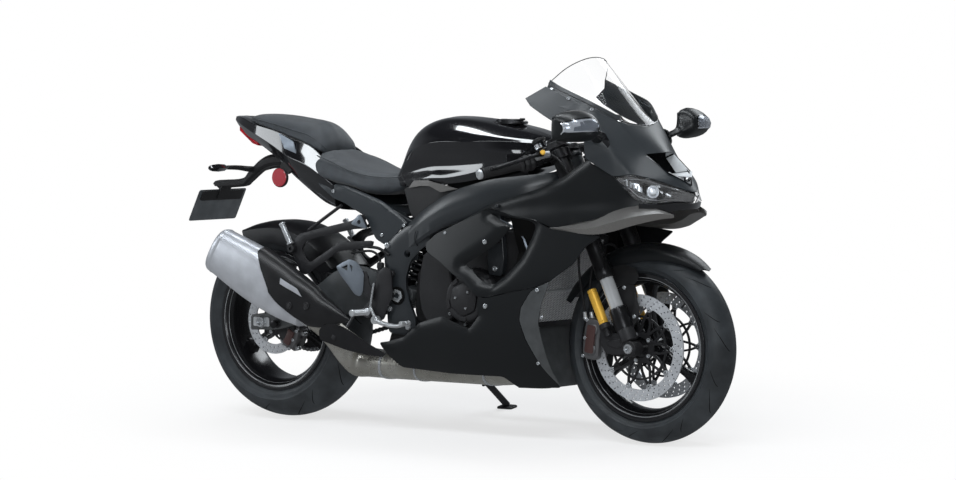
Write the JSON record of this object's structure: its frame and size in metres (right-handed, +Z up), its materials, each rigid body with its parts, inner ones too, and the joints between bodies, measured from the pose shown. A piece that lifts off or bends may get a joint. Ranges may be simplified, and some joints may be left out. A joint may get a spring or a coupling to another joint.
{
  "type": "sport motorcycle",
  "caption": "Black faired sport motorcycle leaning on its side stand, with steering, two wheels, side stand and filler cap that move.",
  "frame": {"origin": "on the floor under the middle of the machine as it parks", "axes": "+X forward, +Y to the rider's left, +Z up; the machine leans 9 degrees to +Y on its side stand"},
  "size_m": [2.0943, 0.7636, 1.1788],
  "materials": {
    "gloss_black": "deep gloss lacquer",
    "satin_black": "satin charcoal lacquer",
    "matte_black": "moulded black plastic",
    "graphite": "graphite metallic",
    "frame_black": "satin black coating",
    "cast_black": "black powder coat",
    "engine_grey": "dark engine paint",
    "bare_aluminium": "fine brushed",
    "steel": "ground steel",
    "chrome_tube": "hard chrome",
    "gold_anodised": "gold anodised",
    "titanium": "heat-tinted satin",
    "silencer_metal": "satin silver",
    "tyre_rubber": "matt tread",
    "hose_rubber": "plain",
    "grip_rubber": "ribbed",
    "seat_vinyl": "grained charcoal vinyl",
    "clear_screen": "clear",
    "lamp_lens": "clear lens",
    "red_lens": "red lens",
    "amber_lens": "clear lens",
    "plate_grey": "plain dark plate",
    "radiator_core": "black fins"
  },
  "bodies": {
    "chassis": {"chain": "steel", "chin_panel": "matte_black", "engine_block": "engine_grey", "engine_covers": "engine_grey", "exhaust_pipes": "titanium", "foot_pedals": "bare_aluminium", "footrest_hangers": "cast_black", "footrests": "bare_aluminium", "fuel_tank": "gloss_black", "headlights": "lamp_lens", "instrument": "matte_black", "lower_fairings": "satin_black", "main_frame": "frame_black", "mid_fairings": "satin_black", "mirrors": "gloss_black", "nose_cowl": "satin_black", "nose_stay": "matte_black", "number_plate": "plate_grey", "pillion_seat": "seat_vinyl", "plate_hanger": "matte_black", "radiator": "radiator_core", "rear_axle": "steel", "rear_caliper": "bare_aluminium", "rear_hugger": "matte_black", "rear_indicators": "amber_lens", "rider_seat": "seat_vinyl", "shock_absorber": "cast_black", "side_covers": "matte_black", "silencer": "silencer_metal", "silencer_cover": "matte_black", "subframe": "frame_black", "swingarm": "frame_black", "swingarm_pivot": "steel", "tail_cowl": "gloss_black", "tail_light": "red_lens", "upper_side_panels": "satin_black", "windscreen": "clear_screen", "winglets": "graphite"},
    "front_wheel": {"front_tyre": "tyre_rubber", "front_rim": "cast_black", "front_discs": "steel"},
    "rear_wheel": {"rear_tyre": "tyre_rubber", "rear_rim": "cast_black", "rear_disc": "steel", "rear_sprocket": "cast_black"},
    "steering": {"fork_yokes": "cast_black", "fork_outer_tubes": "cast_black", "fork_inner_tubes": "chrome_tube", "fork_feet": "cast_black", "damper_reservoirs": "gold_anodised", "front_axle": "steel", "front_calipers": "bare_aluminium", "front_fender": "gloss_black", "handlebars": "cast_black", "grips": "grip_rubber", "bar_controls": "matte_black", "levers": "bare_aluminium", "front_brake_hoses": "hose_rubber"},
    "side_stand": {"side_stand": "cast_black"},
    "filler_cap": {"filler_cap": "cast_black"}
  },
  "joints": [
    {"name": "steering", "type": "hinge", "parent": "chassis", "child": "steering", "pos_m": [0.61901, -0.07446, 0.49384], "axis": [-0.4226, 0.1418, 0.8951], "range_deg": [-27, 27]},
    {"name": "front_wheel_spin", "type": "hinge", "parent": "steering", "child": "front_wheel", "pos_m": [0.74716, -0.10563, 0.29706], "axis": [0, 0.9877, -0.1564], "continuous": true},
    {"name": "rear_wheel_spin", "type": "hinge", "parent": "chassis", "child": "rear_wheel", "pos_m": [-0.70284, -0.10235, 0.31777], "axis": [0, 0.9877, -0.1564], "continuous": true},
    {"name": "stand_fold", "type": "hinge", "parent": "chassis", "child": "side_stand", "pos_m": [-0.08284, 0.00738, 0.19233], "axis": [0, 0.9003, 0.4353], "range_deg": [0, 105]},
    {"name": "filler_hinge", "type": "hinge", "parent": "chassis", "child": "filler_cap", "pos_m": [0.25116, 0.00313, 0.98374], "axis": [0, 0.9877, -0.1564], "range_deg": [0, 100]}
  ]
}
